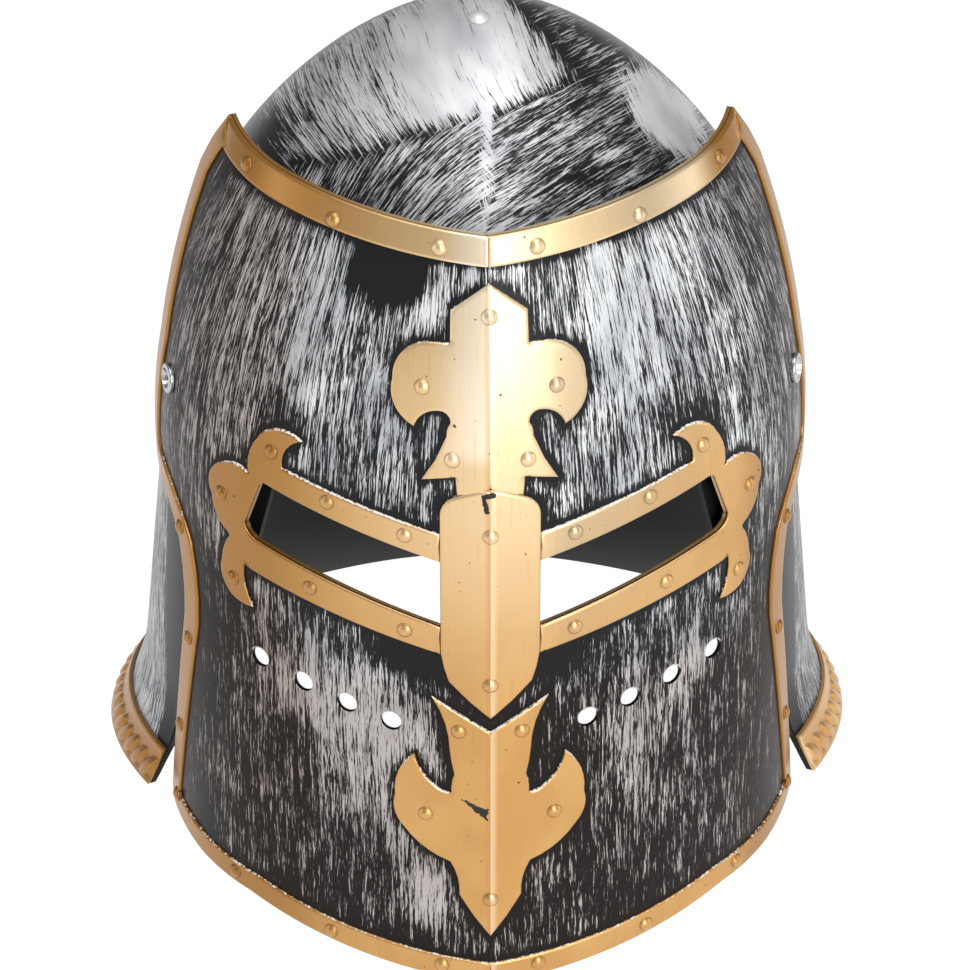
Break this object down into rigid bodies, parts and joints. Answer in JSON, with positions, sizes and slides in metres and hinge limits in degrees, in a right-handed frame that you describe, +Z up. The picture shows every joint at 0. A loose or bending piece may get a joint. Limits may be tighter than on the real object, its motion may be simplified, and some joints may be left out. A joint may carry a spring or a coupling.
{
  "type": "sugarloaf helmet",
  "caption": "Closed sugarloaf helmet: tall ridged crown, flared beaded neck rim, and a keeled face visor with eye slits and riveted plates that swings up on side pivots.",
  "frame": {"origin": "on the table under the middle of the helmet's box", "axes": "+Z up, the face looks along -Y, the wearer's left is +X"},
  "size_m": [0.2682, 0.2734, 0.3045],
  "materials": {
    "skull_shell": "black with brushed silver",
    "visor_shell": "black with streaked silver",
    "gold": "satin gold paint",
    "steel": "satin",
    "padding": "dark cloth over foam"
  },
  "bodies": {
    "skull": {"skull_shell": "skull_shell", "rim_band": "gold", "crown_rivet": "skull_shell", "crown_pad": "padding", "brow_pad": "padding", "nape_pad": "padding", "pivot_bush_left": "steel", "pivot_bush_right": "steel", "pivot_pin_left": "steel", "pivot_pin_right": "steel", "pin_washer_left": "steel", "pin_washer_right": "steel"},
    "visor": {"visor_shell": "visor_shell", "top_border": "gold", "side_border_left": "gold", "side_border_right": "gold", "bottom_border": "gold", "upper_fleur": "gold", "nasal_shield": "gold", "lower_fleur": "gold", "eye_frame_left": "gold", "eye_frame_right": "gold", "pivot_eyelet_left": "steel", "pivot_eyelet_right": "steel", "top_border_rivets": "gold", "side_border_rivets_left": "gold", "side_border_rivets_right": "gold", "bottom_border_rivets": "gold", "upper_fleur_rivets": "gold", "nasal_rivets": "gold", "lower_fleur_rivets": "gold", "eye_frame_rivets_left": "gold", "eye_frame_rivets_right": "gold"}
  },
  "joints": [
    {"name": "visor_pivot", "type": "hinge", "parent": "skull", "child": "visor", "pos_m": [0, -0.05732, 0.192], "axis": [-1, 0, 0], "range_deg": [0, 28]}
  ]
}
